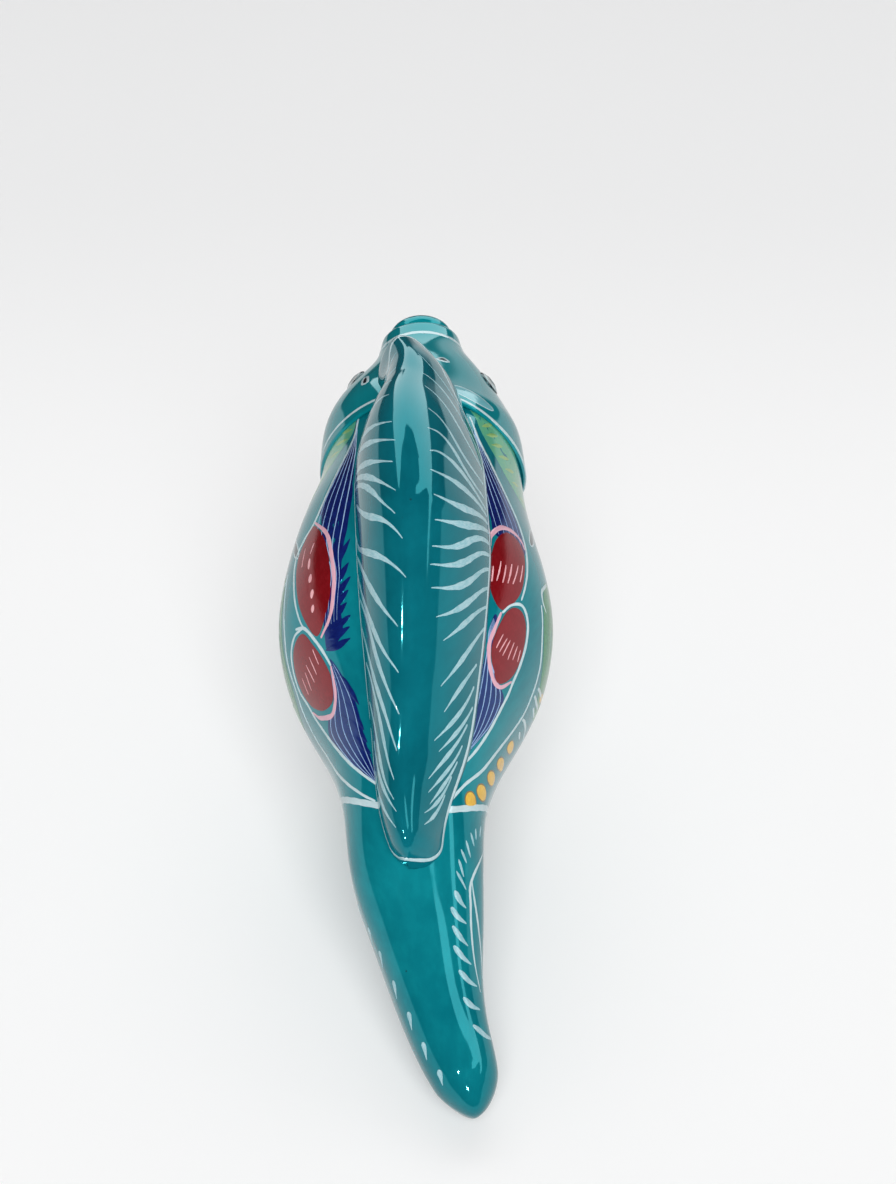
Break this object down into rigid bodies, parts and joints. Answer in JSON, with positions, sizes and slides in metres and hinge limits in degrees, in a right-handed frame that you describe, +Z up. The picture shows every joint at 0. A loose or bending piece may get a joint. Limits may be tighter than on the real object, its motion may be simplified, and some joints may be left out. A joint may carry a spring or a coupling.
{
  "type": "ceramic fish figurine",
  "caption": "Hollow glazed earthenware fish with a lapped head cap, rolled lips, let-in eyes, a tall back fin and a plugged tail, resting on its belly and tail.",
  "frame": {"origin": "centre of the overall box's base, on the floor under the belly", "axes": "+Z up, the head looks along -Y and the tail lies at +Y, the fish's own right side is at -X"},
  "size_m": [0.0758, 0.2215, 0.1395],
  "materials": {
    "body_glaze": "clear glossy glaze over teal underglaze, hand-painted",
    "head_glaze": "clear glossy glaze over dark teal underglaze",
    "lip_glaze": "clear glossy glaze over teal underglaze",
    "eye_glaze": "clear glossy glaze over white slip with a black pupil",
    "fin_glaze": "clear glossy glaze over dark teal underglaze with pale brush strokes",
    "tail_glaze": "clear glossy glaze over teal underglaze with pale brush strokes"
  },
  "bodies": {
    "root": {"body_shell_left": "body_glaze", "body_shell_right": "body_glaze", "head_cap": "head_glaze", "upper_lip": "lip_glaze", "lower_lip": "lip_glaze", "eye_left": "eye_glaze", "eye_right": "eye_glaze", "dorsal_fin": "fin_glaze", "tail_fin": "tail_glaze"}
  },
  "joints": []
}
